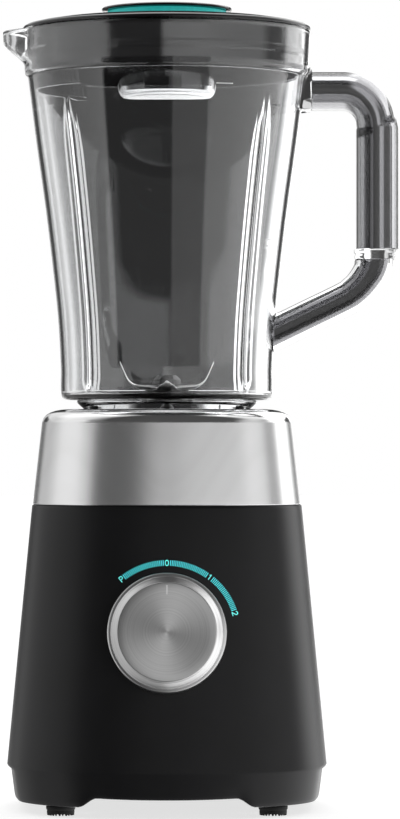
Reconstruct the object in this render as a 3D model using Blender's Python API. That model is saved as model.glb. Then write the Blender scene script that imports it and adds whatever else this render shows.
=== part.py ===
"""A countertop blender: a squared black base with a steel band, a clear jug with a handle, a lid with a
measuring cup, and the motor, switch and blade set that make it work.
Run it with blender --background --python part.py.

The sizes are millimetres and MM turns them into Blender's metres. The jug's axis is the vertical axis of
the shapes below, and one empty sets it so that the whole object's box is centred on the origin. The knob
is on -Y."""

import math

import bmesh
import bpy
from mathutils import Vector

MM = 0.001
GAP = 0.3  # between pieces that touch
ROUND = 36  # sides of a large turned piece
MEDIUM = 24  # sides of the lid's inner pieces and the motor's bridges
SMALL = 16  # sides of a small turned piece
SCREW_SIDES = 12
BOLT_SIDES = 10

# Base: half widths of a rounded square, and the heights where they hold
CORNER = 2.7  # exponent of the plan's superellipse: 2 is a circle, more is squarer
FOOT_SPREAD = 51.8
FOOT_OUTLINE = ((6.0, 0.0), (6.6, 0.7), (6.6, 2.4), (7.1, 2.8), (7.1, 4.8), (5.0, 4.8))
LEG_BOTTOM = 5.2
LEG_TAPER = 2.2  # how far the wall comes in from the belly to the legs' ends
ARCH_RISE = 4.5
ARCH_INNER, ARCH_OUTER = 33.9, 42.8
BELLY_HALF, BELLY_Z = 79.6, 22.0
HOUSING_TOP_HALF, HOUSING_TOP = 67.2, 150.6
WALL = 2.6
GRIP_RECESS_DEPTH, GRIP_RECESS_HALF, GRIP_RECESS_TOP = 1.8, 34.0, 19.6
BAND_BOTTOM_HALF, BAND_BOTTOM = 66.8, 151.0
BAND_TOP_HALF, BAND_TOP = 62.3, 191.5
BAND_WALL = 0.8
SHOULDER_HALF, SHOULDER_TOP = 50.0, 198.2
CORE_TOP = 186.0
COVER_HALF, COVER_BOTTOM, COVER_TOP = 71.3, 11.0, 13.6
POST_SPREAD = 41.0
FRAME_BOTTOM, FRAME_TOP = 145.0, 148.0
WELL_RADIUS, WELL_FLOOR, WELL_UNDER = 43.0, 184.4, 181.8
LUG_X, LUG_Y = 35.9, 29.0
PLUNGER_Y = 39.4

# Knob, square to the front wall
KNOB_Z = 89.2
KNOB_TILT = math.radians(5.5)
KNOB_RADIUS, KNOB_FACE_RADIUS = 28.8, 23.9
KNOB_SHOULDER, KNOB_FACE = 14.5, 19.6

# Cord gland at the rear
GLAND_Z = 25.0
GLAND_END = 81.4

# Motor
STATOR_HALF, STATOR_BOTTOM, STATOR_TOP = 33.0, 82.0, 118.0
STATOR_CORNER = 6.0  # exponent of the core's and the bridges' plan
BRIDGE_TOP = 134.3
SHAFT_RADIUS = 4.0
BORE_RADIUS = SHAFT_RADIUS + GAP
BOLT_SPREAD = 26.0
COIL_RADIUS = 24.6
COUPLING_TEETH = 6
COUPLING_RADIUS, COUPLING_DEPTH = 10.2, 1.2
COUPLING_PLAY = 0.6

# Jug: outer radius at a few heights
JUG_WALL = 2.2
JUG_BOTTOM, JUG_FLOOR, JUG_RIM = 203.0, 205.5, 387.0
JUG_OUTLINE = (
    (50.7, 203.0),
    (52.1, 203.6),
    (52.7, 205.4),
    (53.0, 220.0),
    (54.3, 243.0),
    (56.9, 268.0),
    (60.4, 297.0),
    (65.0, 330.0),
    (67.15, 346.5),
    (67.2, 347.0),
    (69.3, 363.6),
    (70.9, 365.6),
    (71.4, 376.0),
    (72.0, 387.0),
)
SPOUT_REACH = 82.0
SPOUT_HALF_ANGLE = math.radians(22)
SPOUT_START = 366.0
BASE_RING_RADIUS = 41.0
PAD_REACH, PAD_HALF_WIDTH = 72.0, 13.0  # the flat that the grip stands against
PAD_BOTTOM, PAD_TOP = 347.0, 366.0

# Handle, in the jug's XZ plane: half thickness, and the middle of its section
HANDLE_REACH = 115.6
HANDLE_HALF_WIDTH = 12.0
GRIP_HALF, GRIP_TOP_HALF = 10.4, 9.4
GRIP_X, GRIP_Z, GRIP_BEND = HANDLE_REACH - GRIP_HALF, 357.1, 16.5
BEND_X = GRIP_X - 0.9
RING_BOTTOM, RING_TOP = 273.1, 278.1
ARM = (
    (103.3, RING_BOTTOM - GAP, 9.4),
    (103.3, 270.8, 9.3),
    (101.6, 266.2, 9.0),
    (97.4, 260.2, 8.6),
    (93.4, 256.4, 8.5),
    (88.7, 253.3, 8.4),
    (50.0, 234.5, 8.4),
)

# Lid and measuring cup
LID_RADIUS, LID_BRIM = 72.0, 387.4
LID_SKIRT_BOTTOM = 364.5
LID_SKIRT_RADIUS = 67.4
FEED_RADIUS = 25.6
CUP_RADIUS, CUP_BOTTOM = 24.8, 354.0
CAP_RADIUS, CAP_TOP = 33.0, 398.9

# The base's corners, with the signs of their X and Y
CORNERS = (("front_left", -1, -1), ("front_right", 1, -1), ("rear_left", -1, 1), ("rear_right", 1, 1))

# Where the jug's axis stands, for a box centred on the origin
KNOB_FRONT = (
    BELLY_HALF
    - (BELLY_HALF - HOUSING_TOP_HALF) * (KNOB_Z - BELLY_Z) / (HOUSING_TOP - BELLY_Z)
)
FACE_REACH = KNOB_FACE * math.cos(KNOB_TILT) + KNOB_FACE_RADIUS * math.sin(KNOB_TILT)
FRONT_REACH = KNOB_FRONT + FACE_REACH
AXIS_X = (SPOUT_REACH - HANDLE_REACH) / 2
AXIS_Y = (FRONT_REACH - GLAND_END) / 2


def finish(name, colour, roughness, metallic=0.0, see_through=0.0):
    """A material with one Principled shader."""
    material = bpy.data.materials.new(name)
    material.use_nodes = True
    shader = material.node_tree.nodes["Principled BSDF"]
    shader.inputs["Base Color"].default_value = (*colour, 1.0)
    shader.inputs["Roughness"].default_value = roughness
    shader.inputs["Metallic"].default_value = metallic
    shader.inputs["Transmission Weight"].default_value = see_through
    return material


def empty(name, place, parent=None, turn=(0.0, 0.0, 0.0)):
    """A guide that a joint's pieces hang on."""
    guide = bpy.data.objects.new(name, None)
    guide.location = Vector(place) * MM
    guide.rotation_euler = turn
    guide.parent = parent
    bpy.context.collection.objects.link(guide)
    return guide


def add(name, shape, material, parent, place=(0, 0, 0), turn=(0.0, 0.0, 0.0)):
    """Makes an object of a bmesh, with its faces pointing out."""
    bmesh.ops.recalc_face_normals(shape, faces=shape.faces)
    mesh = bpy.data.meshes.new(name)
    shape.to_mesh(mesh)
    shape.free()
    mesh.materials.append(material)
    mesh.shade_smooth()
    mesh.set_sharp_from_angle(angle=math.radians(35))
    piece = bpy.data.objects.new(name, mesh)
    piece.location = Vector(place) * MM
    piece.rotation_euler = turn
    piece.parent = parent
    bpy.context.collection.objects.link(piece)
    return piece


def squared(half, z, exponent=CORNER, count=ROUND):
    """A level ring of points on a superellipse."""
    ring = []
    for step in range(count):
        angle = 2 * math.pi * step / count
        across, along = math.cos(angle), math.sin(angle)
        reach = half * (abs(across) ** exponent + abs(along) ** exponent) ** (-1 / exponent)
        ring.append((reach * across, reach * along, z))
    return ring


def circle(radius, z, count=ROUND):
    return squared(radius, z, 2.0, count)


def wavy(radius, depth, waves, z, count=ROUND):
    """A level ring whose radius swings in and out, as on a splined coupling."""
    ring = []
    for step in range(count):
        angle = 2 * math.pi * step / count
        reach = radius + depth * math.cos(waves * angle)
        ring.append((reach * math.cos(angle), reach * math.sin(angle), z))
    return ring


def rectangle(low, high, z):
    return [(low[0], low[1], z), (high[0], low[1], z), (high[0], high[1], z), (low[0], high[1], z)]


def skinned(rings, joined):
    """A bmesh over a row of rings: joined end to start, as for a hollow piece, or filled at both ends."""
    shape = bmesh.new()
    loops = [[shape.verts.new(Vector(point) * MM) for point in ring] for ring in rings]
    pairs = list(zip(loops, loops[1:]))
    if joined:
        pairs.append((loops[-1], loops[0]))
    else:
        shape.faces.new(loops[0])
        shape.faces.new(loops[-1])
    for one, two in pairs:
        for index in range(len(one)):
            after = (index + 1) % len(one)
            shape.faces.new((one[index], one[after], two[after], two[index]))
    return shape


def hollow(name, rings, material, parent, **place):
    return add(name, skinned(rings, joined=True), material, parent, **place)


def solid(name, rings, material, parent, **place):
    return add(name, skinned(rings, joined=False), material, parent, **place)


def turned(profile, count=ROUND):
    return [circle(radius, z, count) for radius, z in profile]


def block(name, low, high, material, parent, **place):
    rings = [rectangle(low, high, low[2]), rectangle(low, high, high[2])]
    return solid(name, rings, material, parent, **place)


def cut(piece, name, rings, operation="DIFFERENCE", **place):
    """Cuts a filled shape out of a piece, or with UNION adds it."""
    cutter = solid(name, rings, piece.data.materials[0], piece.parent, **place)
    cutter.hide_render = True
    cutter.display_type = "WIRE"
    cutting = piece.modifiers.new(name, "BOOLEAN")
    cutting.operation = operation
    cutting.solver = "EXACT"
    cutting.object = cutter


def between(low, high, z, low_z, high_z):
    return low + (high - low) * (z - low_z) / (high_z - low_z)


def housing_half(z):
    """The base's outer half width, which narrows evenly from the belly up, and a little below it."""
    if z >= BELLY_Z:
        return between(BELLY_HALF, HOUSING_TOP_HALF, z, BELLY_Z, HOUSING_TOP)
    return between(BELLY_HALF - LEG_TAPER, BELLY_HALF, z, LEG_BOTTOM, BELLY_Z)


def band_half(z):
    return between(BAND_BOTTOM_HALF, BAND_TOP_HALF, z, BAND_BOTTOM, BAND_TOP)


def eased(share):
    share = min(max(share, 0.0), 1.0)
    return share * share * (3 - 2 * share)


def housing_ring(half, z):
    """A ring of the housing's wall, pulled in where the hands lift it and arched between its legs."""
    ring = []
    for x, y, level in squared(half, z):
        if z <= GRIP_RECESS_TOP and abs(x) > abs(y):
            x -= math.copysign(GRIP_RECESS_DEPTH * eased(2 - 1.5 * abs(y) / GRIP_RECESS_HALF), x)
        if z <= LEG_BOTTOM and abs(y) > abs(x):
            level += ARCH_RISE * (1 - eased((abs(x) - ARCH_INNER) / (ARCH_OUTER - ARCH_INNER)))
        ring.append((x, y, level))
    return ring


def make_housing(root, black):
    core = BAND_WALL + 0.4
    levels = (LEG_BOTTOM, 12.5, GRIP_RECESS_TOP, BELLY_Z, 60.0, 105.0, HOUSING_TOP)
    outside = [housing_ring(housing_half(z), z) for z in levels]
    step = [
        squared(band_half(BAND_BOTTOM) - core, HOUSING_TOP),
        squared(band_half(CORE_TOP) - core, CORE_TOP),
    ]
    inside = [
        squared(band_half(CORE_TOP) - core - WALL, CORE_TOP),
        squared(band_half(BAND_BOTTOM) - core - WALL, HOUSING_TOP),
        squared(housing_half(FRAME_BOTTOM) - WALL, FRAME_BOTTOM + 3.2),
        housing_ring(housing_half(BELLY_Z) - WALL, BELLY_Z),
        housing_ring(housing_half(GRIP_RECESS_TOP) - WALL, GRIP_RECESS_TOP),
        housing_ring(housing_half(LEG_BOTTOM) - WALL, LEG_BOTTOM),
    ]
    housing = hollow("base_housing", outside + step + inside, black, root)
    cut(
        housing,
        "knob_shaft_hole",
        turned(((4.2, -8.0), (4.2, 4.0)), SMALL),
        place=(0, -KNOB_FRONT, KNOB_Z),
        turn=(math.pi / 2 - KNOB_TILT, 0, 0),
    )
    cut(
        housing,
        "gland_hole",
        turned(((6.3, 70.0), (6.3, 84.0)), SMALL),
        place=(0, 0, GLAND_Z),
        turn=(-math.pi / 2, 0, 0),
    )


def make_band(root, steel):
    """A thin steel sleeve whose top rolls in to a round opening."""
    roll = (
        (BAND_TOP_HALF - 0.8, BAND_TOP + 2.2, CORNER),
        (BAND_TOP_HALF - 2.4, BAND_TOP + 4.1, 2.6),
        (BAND_TOP_HALF - 6.4, BAND_TOP + 5.9, 2.3),
        (SHOULDER_HALF, SHOULDER_TOP, 2.0),
    )
    outside = [squared(BAND_BOTTOM_HALF, BAND_BOTTOM), squared(BAND_TOP_HALF, BAND_TOP)]
    outside += [squared(half, z, exponent) for half, z, exponent in roll]
    inside = [squared(half - 0.3, z - BAND_WALL, exponent) for half, z, exponent in reversed(roll[1:])]
    inside[0] = circle(SHOULDER_HALF, SHOULDER_TOP - BAND_WALL)
    inside += [
        squared(BAND_TOP_HALF - BAND_WALL, BAND_TOP - 0.4),
        squared(BAND_BOTTOM_HALF - BAND_WALL, BAND_BOTTOM),
    ]
    hollow("steel_band", outside + inside, steel, root)


def make_seat(root, black):
    """The jug's seat on the motor frame, with a well for the jug's ring and four locating lugs."""
    seat = hollow(
        "jug_seat",
        turned(
            (
                (SHOULDER_HALF - 0.4, SHOULDER_TOP - GAP),
                (SHOULDER_HALF - 0.4, FRAME_TOP + GAP),
                (47.2, FRAME_TOP + GAP),
                (47.2, WELL_UNDER),
                (14.5, WELL_UNDER),
                (14.5, 187.0),
                (16.5, 187.0),
                (16.5, WELL_FLOOR),
                (WELL_RADIUS, WELL_FLOOR),
                (WELL_RADIUS, SHOULDER_TOP - GAP),
            ),
        ),
        black,
        root,
    )
    cut(
        seat,
        "plunger_hole",
        turned(((2.4, WELL_UNDER - 2), (2.4, WELL_FLOOR + 2)), 14),
        place=(0, PLUNGER_Y, 0),
    )
    for word, side, end in CORNERS:
        outline = ((2.2, SHOULDER_TOP - 4.3), (2.2, SHOULDER_TOP + 1.0), (1.7, SHOULDER_TOP + 1.5))
        lug = turned(outline, BOLT_SIDES)
        cut(seat, f"seat_lug_{word}", lug, "UNION", place=(side * LUG_X, end * LUG_Y, 0))


def make_underside(root, black, rubber, steel):
    """The bottom cover with its vents, the feet and the screws."""
    cover = solid(
        "bottom_cover",
        [squared(COVER_HALF, COVER_BOTTOM), squared(COVER_HALF, COVER_TOP)],
        black,
        root,
    )
    for row in range(-3, 4):
        low, high = (-20.0, row * 7.0 - 1.5), (20.0, row * 7.0 + 1.5)
        slot = [rectangle(low, high, COVER_BOTTOM - 2), rectangle(low, high, COVER_TOP + 2)]
        cut(cover, f"vent_cut_{row + 4}", slot)
    for word, side, end in CORNERS:
        foot = (*FOOT_OUTLINE, (5.0, COVER_BOTTOM - GAP))
        stand = (side * FOOT_SPREAD, end * FOOT_SPREAD, 0)
        solid(f"foot_{word}", turned(foot, SMALL), rubber, root, place=stand)
        here = (side * POST_SPREAD, end * POST_SPREAD, 0)
        hole = turned(((2.3, COVER_BOTTOM - 2), (2.3, COVER_TOP + 2)), SCREW_SIDES)
        cut(cover, f"screw_hole_{word}", hole, place=here)
        screw = ((3.4, 8.2), (3.4, COVER_BOTTOM - GAP), (1.9, COVER_BOTTOM - GAP), (1.9, 28.0))
        solid(f"cover_screw_{word}", turned(screw, SCREW_SIDES), steel, root, place=here)


def make_frame(root, steel, rubber):
    """The plate that hangs the motor on a rubber ring, with four posts down to the bottom cover."""
    frame = hollow(
        "motor_frame",
        [
            squared(63.4, FRAME_BOTTOM),
            squared(62.8, FRAME_TOP),
            circle(13.5, FRAME_TOP),
            circle(13.5, FRAME_BOTTOM),
        ],
        steel,
        root,
    )
    for word, side, end in CORNERS:
        here = (side * POST_SPREAD, end * POST_SPREAD, 0)
        post = turned(((4.5, COVER_TOP + GAP), (4.5, FRAME_BOTTOM + 1.5)), SCREW_SIDES)
        cut(frame, f"frame_post_{word}", post, "UNION", place=here)
        bore = turned(((2.3, COVER_TOP - 2), (2.3, 30.0)), SCREW_SIDES)
        cut(frame, f"post_bore_{word}", bore, place=here)
    low, middle, high = BRIDGE_TOP + 0.4, 139.7, FRAME_BOTTOM - GAP
    damper = ((17.0, low), (29.0, low), (27.0, middle), (29.0, high), (17.0, high), (19.0, middle))
    hollow("motor_damper", turned(damper, MEDIUM), rubber, root)


def stator_ring(z):
    """The core's bore: round at the two poles and deeper where the coils pass."""
    ring = []
    for x, y, level in circle(1.0, z):
        slot = eased((abs(y) - 0.72) / 0.08)
        reach = 19.4 + 9.0 * slot
        ring.append((x * reach, y * reach, level))
    return ring


def make_motor(root, steel, copper, carbon, black):
    """The motor's fixed side."""
    stator = hollow(
        "stator_core",
        [
            squared(STATOR_HALF, STATOR_BOTTOM, STATOR_CORNER),
            squared(STATOR_HALF, STATOR_TOP, STATOR_CORNER),
            stator_ring(STATOR_TOP),
            stator_ring(STATOR_BOTTOM),
        ],
        steel,
        root,
    )
    upper = hollow(
        "upper_bridge",
        [
            squared(STATOR_HALF, 131.0, STATOR_CORNER, MEDIUM),
            squared(STATOR_HALF, BRIDGE_TOP, STATOR_CORNER, MEDIUM),
            *turned(((14.0, BRIDGE_TOP), (14.0, 142.0), (11.3, 142.0)), MEDIUM),
            *turned(((11.3, 133.5), (7.0, 133.5), (7.0, 131.0)), MEDIUM),
        ],
        steel,
        root,
    )
    lower = hollow(
        "lower_bridge",
        [
            squared(STATOR_HALF, 47.0, STATOR_CORNER, MEDIUM),
            squared(STATOR_HALF, 50.0, STATOR_CORNER, MEDIUM),
            *turned(((6.0, 50.0), (6.0, 49.0), (8.6, 49.0)), MEDIUM),
            *turned(((8.6, 40.5), (10.5, 40.5), (10.5, 47.0)), MEDIUM),
        ],
        steel,
        root,
    )
    for word, side, end in CORNERS[1:3]:
        here = (side * BOLT_SPREAD, end * BOLT_SPREAD, 0)
        for piece in (stator, upper, lower):
            low = min(corner[2] for corner in piece.bound_box) / MM
            high = max(corner[2] for corner in piece.bound_box) / MM
            bore = turned(((2.4, low - 2), (2.4, high + 2)), BOLT_SIDES)
            cut(piece, f"{piece.name}_bolt_hole_{word}", bore, place=here)
        bolt = ((2.0, 44.0), (2.0, BRIDGE_TOP + 0.4), (3.6, BRIDGE_TOP + 0.4), (3.6, 138.0))
        solid(f"motor_bolt_{word}", turned(bolt, BOLT_SIDES), steel, root, place=here)
    bearings = (("upper_bearing", 11.0, 133.9, 141.5), ("lower_bearing", 8.3, 41.5, 48.6))
    for name, radius, low, high in bearings:
        section = ((BORE_RADIUS, low), (radius, low), (radius, high), (BORE_RADIUS, high))
        hollow(name, turned(section, SMALL), steel, root)
    for word, side in (("left", -1), ("right", 1)):
        make_coil(f"field_coil_{word}", side, root, copper)
        tube = (
            (14.0, 4.6, 54.0, 70.0),
            (32.0, 4.6, 54.0, 70.0),
            (32.0, 2.9, 61.1, 66.9),
            (14.0, 2.9, 61.1, 66.9),
        )
        rings = []
        for reach, half, low, high in tube:
            x = side * reach
            rings.append([(x, -half, low), (x, half, low), (x, half, high), (x, -half, high)])
        hollow(f"brush_holder_{word}", rings, black, root)
        near, far = sorted((side * 11.6, side * 26.0))
        block(f"carbon_brush_{word}", (near, -2.5, 61.5), (far, 2.5, 66.5), carbon, root)


def make_coil(name, side, root, copper):
    """A saddle of copper round one pole: along two slots, and over the core's ends on two arcs."""
    points = []
    start, end = math.radians(66), math.radians(-66)
    steps = 6
    for level, first, last in ((STATOR_TOP + 4.5, start, end), (STATOR_BOTTOM - 4.5, end, start)):
        for step in range(steps + 1):
            angle = first + (last - first) * step / steps
            points.append((side * COIL_RADIUS * math.cos(angle), COIL_RADIUS * math.sin(angle), level))
    curve = bpy.data.curves.new(name, "CURVE")
    curve.dimensions = "3D"
    curve.bevel_depth = 2.3 * MM
    curve.bevel_resolution = 1
    curve.materials.append(copper)
    path = curve.splines.new("POLY")
    path.use_cyclic_u = True
    path.points.add(len(points) - 1)
    for knot, point in zip(path.points, points):
        knot.co = (*(Vector(point) * MM), 1.0)
    coil = bpy.data.objects.new(name, curve)
    coil.parent = root
    bpy.context.collection.objects.link(coil)


def make_rotor(axle, steel, copper, black):
    """What the motor turns: shaft, armature, commutator, fan and the coupling's lower half."""
    shaft = ((3.6, 20.0), (SHAFT_RADIUS, 20.6), (SHAFT_RADIUS, 182.0), (3.6, 182.6))
    solid("motor_shaft", turned(shaft, SMALL), steel, axle)
    armature = (
        (BORE_RADIUS, 76.0),
        (13.0, 76.0),
        (16.0, STATOR_BOTTOM),
        (18.8, STATOR_BOTTOM + 0.6),
        (18.8, STATOR_TOP - 0.6),
        (16.0, STATOR_TOP),
        (13.0, 126.0),
        (BORE_RADIUS, 126.0),
    )
    hollow("armature", turned(armature, MEDIUM), copper, axle)
    hollow(
        "commutator",
        [
            circle(BORE_RADIUS, 58.0, 32),
            wavy(10.8, 0.25, 16, 58.0, 32),
            wavy(10.8, 0.25, 16, 72.0, 32),
            circle(BORE_RADIUS, 72.0, 32),
        ],
        copper,
        axle,
    )
    vanes = []
    for step in range(ROUND):
        angle = 2 * math.pi * step / ROUND
        reach = 31.0 if step % 4 == 0 else 11.0
        vanes.append((reach * math.cos(angle), reach * math.sin(angle)))
    hollow(
        "cooling_fan",
        [
            circle(BORE_RADIUS, 24.0),
            circle(32.0, 24.0),
            circle(32.0, 25.4),
            [(x, y, 25.4) for x, y in vanes],
            [(x, y, 38.0) for x, y in vanes],
            circle(BORE_RADIUS, 38.0),
        ],
        black,
        axle,
    )
    solid(
        "drive_coupling",
        [
            *turned(((BORE_RADIUS, 183.0), (BORE_RADIUS, 172.0), (12.0, 172.0), (12.0, 186.4))),
            wavy(COUPLING_RADIUS, COUPLING_DEPTH, COUPLING_TEETH, 186.4),
            wavy(COUPLING_RADIUS, COUPLING_DEPTH, COUPLING_TEETH, 195.6),
        ],
        black,
        axle,
    )


def make_controls(root, knob, plunger, aluminium, black, steel, board):
    """The knob with its stem, and the switches and board behind it."""
    cap = (
        (22.7, 18.3),
        (27.4, 13.9),
        (27.4, 1.0),
        (KNOB_RADIUS, 1.0),
        (KNOB_RADIUS, KNOB_SHOULDER),
        (KNOB_FACE_RADIUS, KNOB_FACE),
    )
    solid("knob_cap", turned(cap), aluminium, knob)
    core = (
        (3.4, 1.3),
        (9.0, 1.3),
        (9.0, 5.0),
        (27.0, 5.0),
        (27.0, 8.0),
        (9.0, 8.0),
        (9.0, 17.8),
        (3.4, 17.8),
    )
    hollow("knob_core", turned(core, MEDIUM), black, knob)
    solid("knob_stem", turned(((3.0, -20.0), (3.0, 16.0), (2.6, 16.6)), SMALL), steel, knob)
    square_on = (math.pi / 2 - KNOB_TILT, 0, 0)
    front = (0, -KNOB_FRONT, KNOB_Z)
    switch = [
        squared(14.0, -22.0, 5.0, 20),
        squared(14.0, -5.2, 5.0, 20),
        circle(3.5, -5.2, 20),
        circle(3.5, -22.0, 20),
    ]
    hollow("rotary_switch", switch, black, root, place=front, turn=square_on)
    block("control_board", (-26, -20, -24.4), (26, 20, -22.8), board, root, place=front, turn=square_on)
    under_ring = (0, PLUNGER_Y, 0)
    block("interlock_switch", (-10, -3.2, 158.0), (10, 3.2, 168.0), black, root, place=under_ring)
    pin = ((3.4, 172.0), (3.4, 174.0), (2.0, 174.0), (2.0, WELL_FLOOR - 0.2), (1.6, WELL_FLOOR + 0.1))
    solid("interlock_plunger", turned(pin, SMALL), steel, plunger)
    gland = (
        (3.7, 68.0),
        (5.9, 68.0),
        (5.9, BELLY_HALF + 0.4),
        (8.5, BELLY_HALF + 0.4),
        (8.5, GLAND_END - 0.5),
        (7.9, GLAND_END),
        (3.7, GLAND_END),
    )
    rear = (-math.pi / 2, 0, 0)
    hollow("cord_gland", turned(gland, SMALL), black, root, place=(0, 0, GLAND_Z), turn=rear)


def jug_ring(radius, z):
    """A ring of the jug's wall, drawn out at -X into the spout."""
    ring = []
    rise = min(max((z - SPOUT_START) / (JUG_RIM - SPOUT_START), 0.0), 1.0)
    reach = (SPOUT_REACH - JUG_OUTLINE[-1][0]) * math.sqrt(rise)
    for x, y, level in circle(radius, z):
        away = abs(math.pi - abs(math.atan2(y, x))) / SPOUT_HALF_ANGLE
        out = reach * math.cos(min(away, 1.0) * math.pi / 2) ** 2
        ring.append((x * (1 + out / radius), y * (1 + out / radius), level))
    return ring


def padded(ring):
    """The same ring with the flat for the grip, where the flat reaches."""
    if not PAD_BOTTOM <= ring[0][2] <= PAD_TOP:
        return ring
    return [(PAD_REACH if x > 0 and abs(y) < PAD_HALF_WIDTH else x, y, z) for x, y, z in ring]


def make_jug(jug, clear, smoke, rubber, black):
    """The jug, its base ring, its handle and the fixed side of the blade bearing."""
    outside = [padded(jug_ring(radius, z)) for radius, z in JUG_OUTLINE]
    inside = [jug_ring(radius - JUG_WALL, z) for radius, z in reversed(JUG_OUTLINE[3:])]
    floor = turned(((48.5, 209.0), (45.5, 206.2), (42.5, JUG_FLOOR), (8.2, JUG_FLOOR), (8.2, JUG_BOTTOM)))
    hollow("jug", outside + inside + floor, clear, jug)
    base_ring = (
        (45.0, JUG_BOTTOM - GAP),
        (45.0, 201.4),
        (BASE_RING_RADIUS, 198.0),
        (BASE_RING_RADIUS, WELL_FLOOR + 0.4),
        (BASE_RING_RADIUS - 2.6, WELL_FLOOR + 0.4),
        (BASE_RING_RADIUS - 2.6, JUG_BOTTOM - GAP),
    )
    hollow("jug_base_ring", turned(base_ring), clear, jug)
    bush = (
        (BORE_RADIUS, 200.3),
        (6.8, 200.3),
        (6.8, JUG_FLOOR + GAP),
        (11.0, JUG_FLOOR + GAP),
        (11.0, 206.6),
        (10.6, 207.0),
        (BORE_RADIUS, 207.0),
    )
    hollow("blade_bush", turned(bush, MEDIUM), black, jug)
    nut = ((7.1, 200.3), (9.5, 200.3), (9.5, 202.7), (7.1, 202.7))
    hollow("bush_nut", turned(nut, MEDIUM), black, jug)
    seal = ((7.1, 203.2), (7.9, 203.2), (7.9, 205.2), (7.1, 205.2))
    hollow("bush_seal", turned(seal, MEDIUM), rubber, jug)
    make_handle(jug, smoke, clear)


def swept(path, halves, count=SMALL):
    """Rings square to a path in the XZ plane, as thick as halves says and as wide as the handle."""
    rings = []
    for index, (x, z) in enumerate(path):
        before = path[max(index - 1, 0)]
        after = path[min(index + 1, len(path) - 1)]
        along = Vector((after[0] - before[0], after[1] - before[1])).normalized()
        ring = []
        for thick, wide, _ in squared(1.0, 0.0, 3.0, count):
            out = thick * halves[index]
            ring.append((x - along.y * out, wide * HANDLE_HALF_WIDTH, z + along.x * out))
        rings.append(ring)
    return rings


def arc(centre, radius, start, end, steps):
    points = []
    for step in range(steps + 1):
        angle = math.radians(start + (end - start) * step / steps)
        points.append((centre[0] + radius * math.cos(angle), centre[1] + radius * math.sin(angle)))
    return points


def make_handle(jug, smoke, clear):
    """The grip, which stands against the jug's flat, the ring under it, and the arm cut to the jug's wall."""
    bend = arc((BEND_X - GRIP_BEND, GRIP_Z - GRIP_BEND), GRIP_BEND, 90, 0, 6)
    top = [(PAD_REACH + GAP, GRIP_Z), *bend]
    step_down = [(GRIP_X, GRIP_Z - GRIP_BEND - 2.0), (GRIP_X, RING_TOP + GAP)]
    halves = [GRIP_TOP_HALF] * len(top) + [GRIP_HALF] * len(step_down)
    solid("handle_grip", swept(top + step_down, halves), smoke, jug)
    ring = [(GRIP_X - 1.1, RING_TOP), (GRIP_X - 1.1, RING_BOTTOM)]
    solid("handle_ring", swept(ring, [GRIP_HALF + 0.2, GRIP_HALF - 0.4]), clear, jug)
    path = [(x, z) for x, z, _ in ARM]
    arm = solid("handle_arm", swept(path, [half for _, _, half in ARM]), smoke, jug)
    cut(arm, "arm_wall_cut", [circle(radius + GAP, z) for radius, z in JUG_OUTLINE[1:]])


def blade(name, path, widths, material, spindle):
    """A bent steel strip with narrowing tips. The path is (reach, height)."""
    thick = 1.2
    rings = []
    for (reach, z), half in zip(path, widths):
        low, high = z - thick / 2, z + thick / 2
        rings.append([(reach, -half, low), (reach, half, low), (reach, half, high), (reach, -half, high)])
    return solid(name, rings, material, spindle)


def make_blades(spindle, steel, black):
    """What turns in the jug: the two crossed blades, their spindle, and the coupling's upper half."""
    upper = blade(
        "upper_blade",
        ((-23.5, 221.8), (-18.0, 211.4), (-9.0, 209.5), (9.0, 209.5), (18.0, 211.4), (23.5, 221.8)),
        (1.2, 5.2, 7.0, 7.0, 5.2, 1.2),
        steel,
        spindle,
    )
    lower = blade(
        "lower_blade",
        ((-27.0, 211.6), (-14.0, 208.3), (-9.0, 207.9), (9.0, 207.9), (14.0, 208.3), (27.0, 211.6)),
        (1.2, 6.0, 7.0, 7.0, 6.0, 1.2),
        steel,
        spindle,
    )
    lower.rotation_euler.z = math.pi / 2
    for piece in (upper, lower):
        cut(piece, f"{piece.name}_bore", turned(((BORE_RADIUS, 200.0), (BORE_RADIUS, 216.0)), SMALL))
    rod = (
        (SHAFT_RADIUS, 196.6),
        (SHAFT_RADIUS, 198.5),
        (4.75, 198.5),
        (4.75, 200.0),
        (SHAFT_RADIUS, 200.0),
        (SHAFT_RADIUS, 213.0),
    )
    solid("blade_spindle", turned(rod, SMALL), steel, spindle)
    nut = [
        circle(BORE_RADIUS, 213.4, 18),
        circle(BORE_RADIUS, 210.4, 18),
        wavy(6.6, 0.35, 6, 210.4, 18),
        wavy(6.6, 0.35, 6, 213.0, 18),
        circle(4.6, 215.2, 18),
    ]
    solid("blade_cap_nut", nut, steel, spindle)
    teeth = COUPLING_RADIUS + COUPLING_PLAY
    hollow(
        "driven_coupling",
        [
            *turned(((BORE_RADIUS, 196.2), (BORE_RADIUS, 198.2), (13.8, 198.2), (13.8, 187.6))),
            wavy(teeth, COUPLING_DEPTH, COUPLING_TEETH, 187.6),
            wavy(teeth, COUPLING_DEPTH, COUPLING_TEETH, 196.2),
        ],
        black,
        spindle,
    )


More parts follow.
